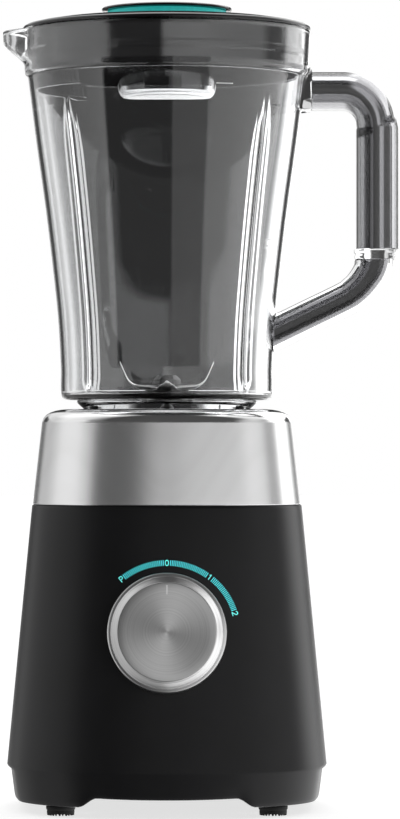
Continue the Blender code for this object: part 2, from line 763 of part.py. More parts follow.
def make_lid(lid, cup, black, rubber, clear, teal):
    """The domed lid with its skirt and seal, and the measuring cup that closes its feed hole."""
    outline = (
        (LID_RADIUS, LID_BRIM),
        (LID_RADIUS, LID_BRIM + 1.2),
        (70.0, 389.7),
        (61.0, 391.3),
        (46.0, 392.8),
        (34.5, 393.7),
        (31.0, 393.7),
        (FEED_RADIUS, 393.7),
        (FEED_RADIUS, 381.0),
        (FEED_RADIUS + 2.2, 381.0),
        (FEED_RADIUS + 2.2, 391.0),
        (46.0, 390.4),
        (65.2, 387.4),
        (65.2, LID_SKIRT_BOTTOM),
        (LID_SKIRT_RADIUS, LID_SKIRT_BOTTOM),
        (LID_SKIRT_RADIUS, LID_BRIM),
    )
    hollow("lid", turned(outline), black, lid)
    seal = ((67.7, 373.0), (68.5, 374.2), (68.5, 376.4), (67.7, 377.6))
    hollow("lid_seal", turned(seal), rubber, lid)
    measure = (
        (CUP_RADIUS - 2.0, CUP_BOTTOM + 2.2),
        (CUP_RADIUS - 1.8, 396.9),
        (CUP_RADIUS, 396.9),
        (CUP_RADIUS - 0.3, CUP_BOTTOM + 1.6),
        (CUP_RADIUS - 1.8, CUP_BOTTOM),
    )
    solid("measuring_cup", turned(measure, MEDIUM), clear, cup)
    band = ((FEED_RADIUS - 0.4, 394.0), (30.4, 394.0), (30.4, 396.9), (FEED_RADIUS - 0.4, 396.9))
    hollow("cap_ring", turned(band, MEDIUM), teal, cup)
    low, high = 397.2, CAP_TOP - 0.3
    top = ((CAP_RADIUS - 0.8, low), (CAP_RADIUS, low + 0.6), (CAP_RADIUS - 0.9, high), (28.0, CAP_TOP))
    solid("filler_cap", turned(top, MEDIUM), black, cup)


def build():
    for thing in list(bpy.data.objects):
        bpy.data.objects.remove(thing)
    black = finish("black_plastic", (0.02, 0.02, 0.022), 0.42)
    steel = finish("brushed_steel", (0.62, 0.62, 0.63), 0.3, 1.0)
    aluminium = finish("brushed_aluminium", (0.72, 0.72, 0.73), 0.28, 1.0)
    plain_steel = finish("plain_steel", (0.5, 0.5, 0.52), 0.4, 1.0)
    copper = finish("copper", (0.75, 0.38, 0.2), 0.35, 1.0)
    carbon = finish("carbon", (0.04, 0.04, 0.04), 0.7)
    rubber = finish("rubber", (0.015, 0.015, 0.015), 0.8)
    clear = finish("clear_plastic", (0.85, 0.86, 0.87), 0.05, 0.0, 1.0)
    smoke = finish("smoke_plastic", (0.25, 0.25, 0.26), 0.08, 0.0, 0.8)
    teal = finish("teal_plastic", (0.02, 0.45, 0.48), 0.15)
    board = finish("circuit_board", (0.05, 0.25, 0.12), 0.5)

    root = empty("blender_axis", (AXIS_X, AXIS_Y, 0))
    motor_spin = empty("motor_spin", (0, 0, 0), root)
    knob_turn = empty("knob_turn", (0, -KNOB_FRONT, KNOB_Z), root, (math.pi / 2 - KNOB_TILT, 0, 0))
    plunger_rise = empty("plunger_rise", (0, PLUNGER_Y, 0), root)
    jug_lift = empty("jug_lift", (0, 0, 0), root)
    blade_spin = empty("blade_spin", (0, 0, 0), jug_lift)
    lid_lift = empty("lid_lift", (0, 0, 0), jug_lift)
    cup_lift = empty("cup_lift", (0, 0, 0), lid_lift)

    make_housing(root, black)
    make_band(root, steel)
    make_seat(root, black)
    make_underside(root, black, rubber, plain_steel)
    make_frame(root, plain_steel, rubber)
    make_motor(root, plain_steel, copper, carbon, black)
    make_rotor(motor_spin, plain_steel, copper, black)
    make_controls(root, knob_turn, plunger_rise, aluminium, black, plain_steel, board)
    make_jug(jug_lift, clear, smoke, rubber, black)
    make_blades(blade_spin, plain_steel, black)
    make_lid(lid_lift, cup_lift, black, rubber, clear, teal)


build()
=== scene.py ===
"""The looks of the countertop blender: fine shells, glass, brushed metal and print round the CAD frame.

Shapes are worked out in millimetres from the jug's axis, and MM turns them into Blender's metres."""

import math

import bmesh
import bpy
import numpy as np
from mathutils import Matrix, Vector


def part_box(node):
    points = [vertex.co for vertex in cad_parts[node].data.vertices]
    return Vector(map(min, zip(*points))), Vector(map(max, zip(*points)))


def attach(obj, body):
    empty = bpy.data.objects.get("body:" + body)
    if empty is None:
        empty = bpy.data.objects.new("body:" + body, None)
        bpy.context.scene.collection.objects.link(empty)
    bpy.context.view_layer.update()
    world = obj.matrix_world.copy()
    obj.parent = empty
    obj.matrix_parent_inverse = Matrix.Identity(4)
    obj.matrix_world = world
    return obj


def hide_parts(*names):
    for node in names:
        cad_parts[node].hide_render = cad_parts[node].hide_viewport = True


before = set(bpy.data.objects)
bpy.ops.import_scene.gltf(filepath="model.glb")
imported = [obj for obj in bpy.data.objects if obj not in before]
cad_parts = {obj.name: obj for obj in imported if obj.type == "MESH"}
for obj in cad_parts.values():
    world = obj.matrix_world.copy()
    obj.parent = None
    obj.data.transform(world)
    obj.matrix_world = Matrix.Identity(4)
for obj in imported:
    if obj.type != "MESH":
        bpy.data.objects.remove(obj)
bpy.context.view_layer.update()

MM = 0.001
WHITE = (1, 1, 1, 1)


def middle(node):
    low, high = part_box(node)
    return (low + high) / 2


AXIS = middle("jug_base_ring")
AXIS.z = 0.0

# ---------------------------------------------------------------- camera, light and floor

EYE_HEIGHT = 0.182
CAMERA_DISTANCE = 2.1
VIEW_HEIGHT = 0.4095  # what the frame's height takes in at the jug's axis
SENSOR = 36.0
CAMERA_SHIFT = (0.0404, 0.0394)
CAMERA_REACH = 50

# What the surfaces mirror: the azimuth in degrees from the camera's side, and the radiance there
STUDIO_LOW = (
    (-180, 1.5), (-165, 0.8), (-150, 0.3), (-140, 0.7), (-100, 0.7), (-64, 1.2), (-56, 1.4), (-54.5, 0.05),
    (4, 0.05), (5, 0.5), (35, 0.55), (37, 1.4), (60, 1.5), (100, 2.0), (150, 1.6), (180, 1.5),
)
STUDIO_LEVEL = (
    (-180, 0.02), (-174.6, 0.02), (-173.6, 0.8), (-167, 0.6), (-165, 0.06), (-150, 0.08), (-148, 0.7),
    (-130, 0.6), (-112, 0.8), (-102, 1.05), (-55, 1.1), (-51, 1.1), (-45, 0.15), (-6, 0.15), (-1, 1.15),
    (30, 1.2), (58, 1.05), (82, 0.95), (92, 0.35), (110, 0.35), (115, 2.2), (145, 1.6), (147, 0.08),
    (163, 0.08), (165, 1.8), (173.6, 2.0), (174.6, 0.02), (180, 0.02),
)
STUDIO_MIDDLE = (
    (-180, 0.02), (-174.6, 0.02), (-173.6, 1.0), (-130, 0.8), (-110, 1.1), (-70, 1.1), (-60, 0.1), (48, 0.1),
    (60, 1.0), (100, 0.5), (115, 2.2), (173.6, 2.0), (174.6, 0.02), (180, 0.02),
)
STUDIO_HIGH = (
    (-180, 1.8), (-110, 1.3), (-70, 0.9), (-40, 0.08), (60, 0.1), (80, 1.0), (110, 1.3), (180, 1.8),
)
STUDIO_PEAK = 2.5  # the radiance that a ramp's white stands for
# Each ring of lights, and the sines of the elevations where it takes over from the ring below
STUDIO = (
    (STUDIO_LOW, None), (STUDIO_LEVEL, (-0.055, -0.04)), (STUDIO_MIDDLE, (0.235, 0.25)),
    (STUDIO_HIGH, (0.45, 0.7)),
)
TOP_LIGHT_SIZE, TOP_LIGHT_WATTS, TOP_LIGHT_TURN = 0.9, 4.0, math.radians(-20)
TOP_LIGHT_BACK, TOP_LIGHT_HEIGHT = 0.5, 1.5
FLOOR_HALF = 12.0
# Near the object the floor lets its shadow show, and beyond it is the backdrop's white: metres and value
FLOOR_GLOW = ((0.12, 0.72), (0.6, 1.0))
FLOOR_COLOUR = ((0.12, 0.45), (0.6, 0.1))


def make_camera():
    data = bpy.data.cameras.new("camera")
    data.sensor_width = SENSOR
    data.lens = SENSOR * CAMERA_DISTANCE / VIEW_HEIGHT
    data.shift_x, data.shift_y = CAMERA_SHIFT
    data.clip_end = CAMERA_REACH
    camera = bpy.data.objects.new("camera", data)
    camera.location = (AXIS.x, AXIS.y - CAMERA_DISTANCE, EYE_HEIGHT)
    camera.rotation_euler = (math.pi / 2, 0, 0)
    bpy.context.collection.objects.link(camera)
    bpy.context.scene.camera = camera


def math_node(tree, operation, one, two):
    """A maths node on two values, each a socket or a number."""
    node = tree.nodes.new("ShaderNodeMath")
    node.operation = operation
    for index, value in enumerate((one, two)):
        if isinstance(value, (int, float)):
            node.inputs[index].default_value = value
        else:
            tree.links.new(value, node.inputs[index])
    return node.outputs[0]


def ramp(tree, value, stops):
    """A ramp of greys, or of colours where a stop gives one."""
    node = tree.nodes.new("ShaderNodeValToRGB")
    tree.links.new(value, node.inputs[0])
    elements = node.color_ramp.elements
    elements.remove(elements[1])
    elements[0].position = stops[0][0]
    for index, (place, tone) in enumerate(stops):
        element = elements[0] if index == 0 else elements.new(place)
        element.color = (tone, tone, tone, 1) if isinstance(tone, (int, float)) else (*tone, 1)
    return node.outputs[0]


def passed(tree, value, limits):
    """Goes from 0 to 1 as the value passes through the limits."""
    node = tree.nodes.new("ShaderNodeMapRange")
    node.inputs["From Min"].default_value, node.inputs["From Max"].default_value = limits
    tree.links.new(value, node.inputs["Value"])
    return node.outputs[0]


def seen_as(tree, direct, mirrored):
    """A shader that the eye sees as the first and every other ray as the second."""
    path = tree.nodes.new("ShaderNodeLightPath")
    mix = tree.nodes.new("ShaderNodeMixShader")
    tree.links.new(path.outputs["Is Camera Ray"], mix.inputs[0])
    tree.links.new(mirrored.outputs[0], mix.inputs[1])
    tree.links.new(direct.outputs[0], mix.inputs[2])
    return mix.outputs[0]


def make_world():
    """White behind for the eye. The surfaces mirror a studio: soft boxes at both sides, with dark gaps."""
    world = bpy.data.worlds.new("studio")
    bpy.context.scene.world = world
    world.use_nodes = True
    tree = world.node_tree
    tree.nodes.clear()
    link = tree.links.new
    coordinates = tree.nodes.new("ShaderNodeTexCoord")
    split = tree.nodes.new("ShaderNodeSeparateXYZ")
    link(coordinates.outputs["Generated"], split.inputs[0])
    front = math_node(tree, "MULTIPLY", split.outputs["Y"], -1.0)
    turn = math_node(tree, "ARCTAN2", split.outputs["X"], front)
    share = math_node(tree, "ADD", math_node(tree, "DIVIDE", turn, 2 * math.pi), 0.5)
    lights = None
    for stops, limits in STUDIO:
        places = [((angle + 180) / 360, radiance / STUDIO_PEAK) for angle, radiance in stops]
        around = ramp(tree, share, places)
        if limits is None:
            lights = around
            continue
        mix = tree.nodes.new("ShaderNodeMixRGB")
        link(passed(tree, split.outputs["Z"], limits), mix.inputs["Fac"])
        link(lights, mix.inputs["Color1"])
        link(around, mix.inputs["Color2"])
        lights = mix.outputs[0]
    studio = tree.nodes.new("ShaderNodeBackground")
    link(lights, studio.inputs["Color"])
    studio.inputs["Strength"].default_value = STUDIO_PEAK
    plain = tree.nodes.new("ShaderNodeBackground")
    plain.inputs["Color"].default_value = WHITE
    output = tree.nodes.new("ShaderNodeOutputWorld")
    link(seen_as(tree, plain, studio), output.inputs[0])


def make_lights():
    """A soft light from above and behind, which brings out the lid's and the shoulder's upper edges."""
    data = bpy.data.lights.new("top_light", "AREA")
    data.size = TOP_LIGHT_SIZE
    data.energy = TOP_LIGHT_WATTS
    lamp = bpy.data.objects.new("top_light", data)
    lamp.location = (AXIS.x, AXIS.y + TOP_LIGHT_BACK, TOP_LIGHT_HEIGHT)
    lamp.rotation_euler = (TOP_LIGHT_TURN, 0, 0)
    bpy.context.collection.objects.link(lamp)


def make_floor():
    """A white floor that melts into the backdrop. Mirrors look through it to the studio's lower lights."""
    far = FLOOR_HALF
    mesh = bpy.data.meshes.new("floor")
    mesh.from_pydata([(-far, -far, 0), (far, -far, 0), (far, far, 0), (-far, far, 0)], [], [(0, 1, 2, 3)])
    floor = bpy.data.objects.new("floor", mesh)
    bpy.context.collection.objects.link(floor)
    material = bpy.data.materials.new("pale_floor")
    material.use_nodes = True
    tree = material.node_tree
    shader = tree.nodes["Principled BSDF"]
    shader.inputs["Roughness"].default_value = 0.9
    shader.inputs["Specular IOR Level"].default_value = 0.0
    shader.inputs["Emission Color"].default_value = WHITE
    coordinates = tree.nodes.new("ShaderNodeTexCoord")
    length = tree.nodes.new("ShaderNodeVectorMath")
    length.operation = "LENGTH"
    tree.links.new(coordinates.outputs["Object"], length.inputs[0])
    reach = length.outputs["Value"]
    tree.links.new(ramp(tree, reach, FLOOR_GLOW), shader.inputs["Emission Strength"])
    tree.links.new(ramp(tree, reach, FLOOR_COLOUR), shader.inputs["Base Color"])
    unseen = tree.nodes.new("ShaderNodeBsdfTransparent")
    tree.links.new(seen_as(tree, shader, unseen), tree.nodes["Material Output"].inputs[0])
    mesh.materials.append(material)


# ---------------------------------------------------------------- materials

SCRATCH_DEPTH = 0.00001  # metres
CLEAR_ROUGHNESS = 0.004


def grey(value):
    return (value, value, value)


def principled(name, colour, roughness, metallic=0.0, **sockets):
    """A material and its shader. An underscore in a socket's name stands for a space."""
    material = bpy.data.materials.new(name)
    material.use_nodes = True
    shader = material.node_tree.nodes["Principled BSDF"]
    shader.inputs["Base Color"].default_value = (*colour, 1)
    shader.inputs["Roughness"].default_value = roughness
    shader.inputs["Metallic"].default_value = metallic
    for socket, value in sockets.items():
        shader.inputs[socket.replace("_", " ")].default_value = value
    return material, shader


def object_noise(material, scale, stretch=(1, 1, 1), detail=3.0):
    """Noise in the object's own space, stretched as brushing or grain is."""
    tree = material.node_tree
    coordinates = tree.nodes.new("ShaderNodeTexCoord")
    mapping = tree.nodes.new("ShaderNodeMapping")
    mapping.inputs["Scale"].default_value = stretch
    tree.links.new(coordinates.outputs["Object"], mapping.inputs["Vector"])
    noise = tree.nodes.new("ShaderNodeTexNoise")
    noise.inputs["Scale"].default_value = scale
    noise.inputs["Detail"].default_value = detail
    tree.links.new(mapping.outputs[0], noise.inputs["Vector"])
    return noise


def vary(material, shader, noise, socket, low, high):
    """Lets noise move a number of the shader between low and high."""
    tree = material.node_tree
    spread = tree.nodes.new("ShaderNodeMapRange")
    spread.inputs["To Min"].default_value = low
    spread.inputs["To Max"].default_value = high
    tree.links.new(noise.outputs[0], spread.inputs["Value"])
    tree.links.new(spread.outputs[0], shader.inputs[socket])


def shade(material, shader, noise, dark, light):
    """Lets noise move the colour between two."""
    tree = material.node_tree
    tree.links.new(ramp(tree, noise.outputs[0], [(0.3, dark), (0.7, light)]), shader.inputs["Base Color"])


def bump(material, shader, height, strength, distance):
    """Raises the surface by a texture, up to a distance in metres."""
    tree = material.node_tree
    node = tree.nodes.new("ShaderNodeBump")
    node.inputs["Strength"].default_value = strength
    node.inputs["Distance"].default_value = distance
    tree.links.new(height.outputs[0], node.inputs["Height"])
    tree.links.new(node.outputs[0], shader.inputs["Normal"])


def moulded(name, dark, light, roughness, grain=0.00004, specular=0.3):
    """Moulded plastic: a fine spark-eroded grain and slightly uneven gloss."""
    material, shader = principled(name, light, roughness, Specular_IOR_Level=specular)
    broad = object_noise(material, 35)
    shade(material, shader, broad, dark, light)
    vary(material, shader, broad, "Roughness", roughness - 0.03, roughness + 0.03)
    bump(material, shader, object_noise(material, 2600, detail=2.0), 0.5, grain)
    return material


def brushed(name, dark, light, roughness, stretch, scale):
    """Brushed metal: streaks along one direction in colour, roughness and height."""
    material, shader = principled(name, light, roughness, 1.0)
    streaks = object_noise(material, scale, stretch, 4.0)
    shade(material, shader, streaks, dark, light)
    vary(material, shader, streaks, "Roughness", roughness - 0.03, roughness + 0.04)
    bump(material, shader, streaks, 0.3, SCRATCH_DEPTH)
    return material


def clear(name, tint):
    """Clear plastic, a little uneven in gloss as moulded walls are."""
    material, shader = principled(name, tint, 0.0, Transmission_Weight=1.0, IOR=1.5)
    vary(material, shader, object_noise(material, 12), "Roughness", 0.0, CLEAR_ROUGHNESS)
    return material


def ringed_metal(name, dark, light, roughness, anisotropy, rings=1400.0):
    """Metal turned on a lathe: fine rings round the object's own Z axis."""
    material, shader = principled(name, light, roughness, 1.0, Anisotropic=anisotropy)
    tree = material.node_tree
    coordinates = tree.nodes.new("ShaderNodeTexCoord")
    flat = tree.nodes.new("ShaderNodeVectorMath")
    flat.operation = "MULTIPLY"
    flat.inputs[1].default_value = (1, 1, 0)
    tree.links.new(coordinates.outputs["Object"], flat.inputs[0])
    length = tree.nodes.new("ShaderNodeVectorMath")
    length.operation = "LENGTH"
    tree.links.new(flat.outputs[0], length.inputs[0])
    noise = tree.nodes.new("ShaderNodeTexNoise")
    noise.noise_dimensions = "1D"
    noise.inputs["Scale"].default_value = rings
    noise.inputs["Detail"].default_value = 4.0
    tree.links.new(length.outputs["Value"], noise.inputs["W"])
    shade(material, shader, noise, dark, light)
    bump(material, shader, noise, 0.2, SCRATCH_DEPTH)
    tangent = tree.nodes.new("ShaderNodeTangent")
    tangent.direction_type = "RADIAL"
    tangent.axis = "Z"
    tree.links.new(tangent.outputs[0], shader.inputs["Tangent"])
    return material


def printed(name, colour, painted_glow):
    """Ink or bright enamel, a little uneven, with a painted glow: emission that makes it shine brighter than
    the lamps light it.
    """
    # painted glow: the emission lights the print from within, though it is no lamp
    material, shader = principled(name, colour, 0.5, Emission_Strength=painted_glow)
    shader.inputs["Emission Color"].default_value = (*colour, 1)
    thin = tuple(part * 0.8 for part in colour)
    shade(material, shader, object_noise(material, 400), thin, colour)
    return material


# ---------------------------------------------------------------- shapes


def mesh_object(name, points, faces, materials, at=None, turn=(0, 0, 0), sharp=35):
    """A smooth-shaded mesh whose points are millimetres from the jug's axis, or from the place given."""
    mesh = bpy.data.meshes.new(name)
    mesh.from_pydata((np.asarray(points) * MM).tolist(), [], faces)
    shape = bmesh.new()
    shape.from_mesh(mesh)
    bmesh.ops.recalc_face_normals(shape, faces=shape.faces)
    shape.to_mesh(mesh)
    shape.free()
    mesh.shade_smooth()
    mesh.set_sharp_from_angle(angle=math.radians(sharp))
    for material in materials if isinstance(materials, (list, tuple)) else [materials]:
        mesh.materials.append(material)
    piece = bpy.data.objects.new(name, mesh)
    piece.location = AXIS if at is None else at
    piece.rotation_euler = turn
    bpy.context.collection.objects.link(piece)
    return piece


def skin(rings, joined, start=0):
    """Faces over a row of rings: joined end to start, or filled at both ends."""
    count, rows = len(rings[0]), len(rings)
    faces = []
    for row in range(rows if joined else rows - 1):
        one, two = start + row * count, start + ((row + 1) % rows) * count
        for index in range(count):
            after = (index + 1) % count
            faces.append((one + index, one + after, two + after, two + index))
    if not joined:
        faces.append(tuple(range(start, start + count))[::-1])
        faces.append(tuple(range(start + (rows - 1) * count, start + rows * count)))
    return faces


def add(name, rings, materials, joined=False, **place):
    """One closed shell over a row of rings."""
    return mesh_object(name, np.concatenate(rings), skin(rings, joined), materials, **place)


def add_many(name, shells, materials, **place):
    """One mesh of several closed shells. Each is its rings and whether they are joined."""
    points, faces = [], []
    for rings, joined in shells:
        faces += skin(rings, joined, sum(len(part) for part in points))
        points.append(np.concatenate(rings))
    return mesh_object(name, np.concatenate(points), faces, materials, **place)


CORNER = 2.7  # exponent of the plan's superellipse: 2 is a circle, more is squarer
PLAN_SIDES = 240
LATHE_SIDES = 160


def squared(half, z, exponent=CORNER, count=PLAN_SIDES):
    """A level ring of points on a superellipse."""
    turn = np.arange(count) * 2 * math.pi / count
    across, along = np.cos(turn), np.sin(turn)
    reach = half * (abs(across) ** exponent + abs(along) ** exponent) ** (-1 / exponent)
    return np.stack([reach * across, reach * along, np.full(count, float(z))], 1)


def circle(radius, z, count=LATHE_SIDES):
    return squared(radius, z, 2.0, count)


def turned(profile, count=LATHE_SIDES):
    """Level circles from a profile of (r, z) points."""
    return [circle(radius, z, count) for radius, z in profile]


def rounded(outline, radius, steps=4):
    """A closed outline of (r, z) points with each corner rounded by up to the radius."""
    result = []
    total = len(outline)
    for index in range(total):
        before, here, after = (np.array(outline[(index + step) % total], float) for step in (-1, 0, 1))
        room = min(np.linalg.norm(before - here), np.linalg.norm(after - here)) / 2.2  # under half a side
        reach = min(radius, room)
        start = here + (before - here) / np.linalg.norm(before - here) * reach
        end = here + (after - here) / np.linalg.norm(after - here) * reach
        for step in range(steps + 1):
            share = step / steps
            bend = (1 - share) ** 2 * start + 2 * share * (1 - share) * here + share**2 * end
            result.append(tuple(bend))
    return result


def through(points, steps):
    """Points along a smooth curve through the given ones."""
    points = np.array(points, float)
    padded = np.concatenate([[2 * points[0] - points[1]], points, [2 * points[-1] - points[-2]]])
    result = []
    for index in range(len(points) - 1):
        a, b, c, d = padded[index : index + 4]
        for step in range(steps):
            t = step / steps
            cubic = (3 * b - a - 3 * c + d) * t**3
            result.append(0.5 * (2 * b + (c - a) * t + (2 * a - 5 * b + 4 * c - d) * t**2 + cubic))
    result.append(points[-1])
    return np.array(result)


def between(low, high, z, low_z, high_z):
    """The value at z on the line from low at low_z to high at high_z."""
    return low + (high - low) * (z - low_z) / (high_z - low_z)


def eased(share):
    """Goes from 0 to 1 with a soft start and end."""
    share = np.clip(share, 0.0, 1.0)
    return share * share * (3 - 2 * share)


# ---------------------------------------------------------------- base

LEG_BOTTOM, LEG_TAPER = 5.2, 2.2
ARCH_RISE, ARCH_INNER, ARCH_OUTER = 4.5, 33.9, 42.8
BELLY_HALF, BELLY_Z = 79.6, 22.0
HOUSING_TOP_HALF, HOUSING_TOP = 67.2, 150.6
WALL = 2.6
ARCH_DROOP, ARCH_FADE = 0.7, 12.0
GRIP_RECESS_DEPTH, GRIP_RECESS_HALF, GRIP_RECESS_TOP, GRIP_RECESS_STEP = 1.8, 34.0, 22.2, 2.4
BAND_BOTTOM_HALF, BAND_BOTTOM = 66.8, 151.0
BAND_TOP_HALF, BAND_TOP = 62.3, 191.5
BAND_WALL, BAND_GAP = 0.8, 0.4
SHOULDER_RADIUS, SHOULDER_TOP = 50.0, 198.2
# The roll at the band's top: how far in, how far up, and the exponent of the plan there
ROLL = (
    (0.12, 0.35, 2.7), (0.35, 1.1, 2.7), (0.8, 2.2, 2.7), (1.4, 3.1, 2.66), (2.4, 4.1, 2.6), (4.2, 5.1, 2.45),
    (6.4, 5.9, 2.3), (9.2, 6.45, 2.15),
)
CORE_TOP = 186.0
FOOT_SPREAD = 51.8
FOOT_SIDES, FOOT_TEETH, TOOTH_HEIGHT = 120, 24, 0.8
FOOT_INSIDE = ((4.0, 0.9), (5.6, 0.9))
FOOT_LIP = ((6.1, 0.0), (6.6, 0.1))
FOOT_OUTLINE = (
    (6.75, 1.6), (6.7, 2.5), (7.0, 2.9), (7.15, 3.4), (7.15, 4.4), (6.9, 4.8), (5.0, 4.8), (5.0, 10.7),
)
GLAND_Z = 25.0
GLAND_OUTLINE = ((3.7, 68.0), (5.9, 68.0), (5.9, 80.0), (8.5, 80.0), (8.5, 81.2), (8.1, 81.4), (3.7, 81.4))
CORNERS = (("front_left", -1, -1), ("front_right", 1, -1), ("rear_left", -1, 1), ("rear_right", 1, 1))


def housing_half(z):
    if z >= BELLY_Z:
        return between(BELLY_HALF, HOUSING_TOP_HALF, z, BELLY_Z, HOUSING_TOP)
    return between(BELLY_HALF - LEG_TAPER, BELLY_HALF, z, LEG_BOTTOM, BELLY_Z)


def band_half(z):
    return between(BAND_BOTTOM_HALF, BAND_TOP_HALF, z, BAND_BOTTOM, BAND_TOP)


def housing_ring(half, z):
    """A ring of the housing's wall, pulled in where the hands lift it and arched between its legs."""
    ring = squared(half, z)
    x, y = ring[:, 0].copy(), ring[:, 1]
    step = eased((GRIP_RECESS_TOP - z) / GRIP_RECESS_STEP)
    along = eased(2 - 1.5 * abs(y) / GRIP_RECESS_HALF)
    ring[:, 0] -= np.sign(x) * GRIP_RECESS_DEPTH * step * along * (abs(x) > abs(y))
    droop = ARCH_DROOP * np.clip(1 - (x / ARCH_INNER) ** 2, 0, 1)
    arch = ARCH_RISE * (1 - eased((abs(x) - ARCH_INNER) / (ARCH_OUTER - ARCH_INNER))) - droop
    ring[:, 2] += (abs(y) > abs(x)) * arch * (1 - eased((z - LEG_BOTTOM) / ARCH_FADE))
    return ring


def make_housing(black):
    """The outer wall up to the band, and the narrower core that the band fits over."""
    core = BAND_WALL + BAND_GAP
    low = housing_half(LEG_BOTTOM)
    rings = [housing_ring(low - 1.5, LEG_BOTTOM), housing_ring(low - 0.5, LEG_BOTTOM + 0.25)]
    rings += [housing_ring(low - 0.1, LEG_BOTTOM + 0.9)]
    levels = (7.5, 10, 12, 14, 16, 18, 19, 19.8, 20.4, 21, 21.6, 22.2, 22.8, 24, 32, 50, 80, 110, 135, 149)
    rings += [housing_ring(housing_half(z), z) for z in levels]
    for inwards, down in ((0, 0.5), (0.15, 0.1), (0.4, 0)):
        rings.append(squared(HOUSING_TOP_HALF - inwards, HOUSING_TOP - down))
    rings += [squared(BAND_BOTTOM_HALF - core, HOUSING_TOP), squared(band_half(CORE_TOP) - core, CORE_TOP)]
    rings += [squared(band_half(CORE_TOP) - core - WALL, CORE_TOP)]
    rings += [squared(BAND_BOTTOM_HALF - core - WALL, HOUSING_TOP), squared(housing_half(145) - WALL, 148.2)]
    levels = (60, 23, 21.6, 20.4, 18, 14, 10, LEG_BOTTOM)
    rings += [housing_ring(housing_half(z) - WALL, z) for z in levels]
    piece = add("housing_shell", rings, black, joined=True)
    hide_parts("base_housing")
    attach(piece, "base")


def make_band(side, shoulder):
    """The sleeve: brushed on its sides and smooth where its top rolls in."""
    roll = [(BAND_TOP_HALF - inwards, BAND_TOP + up, exponent) for inwards, up, exponent in ROLL]
    roll.append((SHOULDER_RADIUS, SHOULDER_TOP, 2.0))
    rings = [squared(BAND_BOTTOM_HALF - 0.3, BAND_BOTTOM)]
    rings += [squared(BAND_BOTTOM_HALF - 0.03, BAND_BOTTOM + 0.25)]
    levels = (BAND_BOTTOM + 0.5, *np.linspace(BAND_BOTTOM + 4, BAND_TOP - 4, 8), BAND_TOP - 0.3, BAND_TOP)
    rings += [squared(band_half(z), z) for z in levels]
    brushed_rows = len(rings)
    rings += [squared(half, z, exponent) for half, z, exponent in roll]
    rings += [circle(SHOULDER_RADIUS, SHOULDER_TOP - BAND_WALL, PLAN_SIDES)]
    rings += [squared(half - 0.3, z - BAND_WALL, exponent) for half, z, exponent in roll[-2:1:-1]]
    rings += [squared(BAND_TOP_HALF - BAND_WALL, BAND_TOP - 0.4)]
    rings += [squared(BAND_BOTTOM_HALF - BAND_WALL, BAND_BOTTOM)]
    piece = add("band_sleeve", rings, (side, shoulder), joined=True, sharp=60)
    smooth_rows = piece.data.polygons[brushed_rows * PLAN_SIDES : (brushed_rows + len(roll)) * PLAN_SIDES]
    for polygon in smooth_rows:
        polygon.material_index = 1
    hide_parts("steel_band")
    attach(piece, "base")


def make_feet(rubber):
    """Rubber feet with a collar and a serrated lip."""
    turn = np.arange(FOOT_SIDES) * 2 * math.pi / FOOT_SIDES
    teeth = TOOTH_HEIGHT * (0.5 + 0.5 * np.sign(np.sin(turn * FOOT_TEETH)))
    for word, side, end in CORNERS:
        rings = turned(FOOT_INSIDE, FOOT_SIDES)
        for lip in turned(FOOT_LIP, FOOT_SIDES):
            lip[:, 2] += teeth
            rings.append(lip)
        rings += turned(FOOT_OUTLINE, FOOT_SIDES)
        place = AXIS + Vector((side * FOOT_SPREAD, end * FOOT_SPREAD, 0)) * MM
        piece = add(f"rubber_foot_{word}", rings, rubber, at=place, sharp=25)
        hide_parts(f"foot_{word}")
        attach(piece, "base")


def make_gland(black):
    """The bush at the rear that a cord would come through."""
    place = AXIS + Vector((0, 0, GLAND_Z)) * MM
    rings = turned(rounded(GLAND_OUTLINE, 0.3), 96)
    piece = add("gland_bush", rings, black, joined=True, at=place, turn=(-math.pi / 2, 0, 0))
    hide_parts("cord_gland")
    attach(piece, "base")


# ---------------------------------------------------------------- dial and knob

KNOB_Z = 89.2
KNOB_TILT = math.radians(5.5)
KNOB_FRONT = housing_half(KNOB_Z)
KNOB_PLACE = AXIS + Vector((0, -KNOB_FRONT, KNOB_Z)) * MM
KNOB_TURN = (math.pi / 2 - KNOB_TILT, 0, 0)
SCALE_RADIUS = 34.4
SCALE_TICK, SCALE_TICK_HALF_WIDTH = 2.7, 0.16
SCALE_PITCH = 1.45  # degrees
SCALE_MARKS = (("P", -39.6), ("0", 0.0), ("1", 37.0), ("2", 73.3))
MARK_GAP = 2.9  # degrees left free at each side of a character
PEN = 0.42
PRINT_LEVELS = (0.02, 0.09)  # how far the print's two sides stand off the wall
KNOB_SIDES = 192
KNOB_FACE = 19.6
# From the skirt's inside round the rim, over the lip and the sloping ring to the edge of the face
KNOB_OUTLINE = (
    (22.7, 18.3), (27.4, 13.9), (27.4, 1.2), (27.6, 1.0), (28.6, 1.0), (28.8, 1.2), (28.8, 13.3),
    (28.6, 13.9), (28.1, 14.3), (27.5, 14.4), (27.15, 14.5), (26.9, 14.9), (26.3, 15.9), (25.5, 17.1),
    (24.7, 18.2), (24.25, 18.9), (24.1, 19.2), (23.95, 19.35), (23.75, 19.5), (23.5, 19.55),
)
POINTER_HALF_WIDTH, POINTER_START, POINTER_END = 0.35, 18.0, 22.4


def front_wall(across, up, out):
    """Points on the housing's front, from places square to the knob's axis, lifted off it by out."""
    z = KNOB_Z + up * math.cos(KNOB_TILT)
    half = np.array([housing_half(level) for level in z])
    y = -((half**CORNER - abs(across) ** CORNER) ** (1 / CORNER))
    return np.stack([across, y - out, z], 1)


def radial(radius, degrees, off=0.0):
    """A place at a radius and an angle clockwise from the top, shifted sideways by off."""
    across, up = math.sin(math.radians(degrees)), math.cos(math.radians(degrees))
    return radius * across + off * up, radius * up - off * across


def raised(corners):
    """The two rings of a thin raised patch on the housing's front."""
    across, up = (np.array(part) for part in zip(*corners))
    return [front_wall(across, up, out) for out in PRINT_LEVELS]


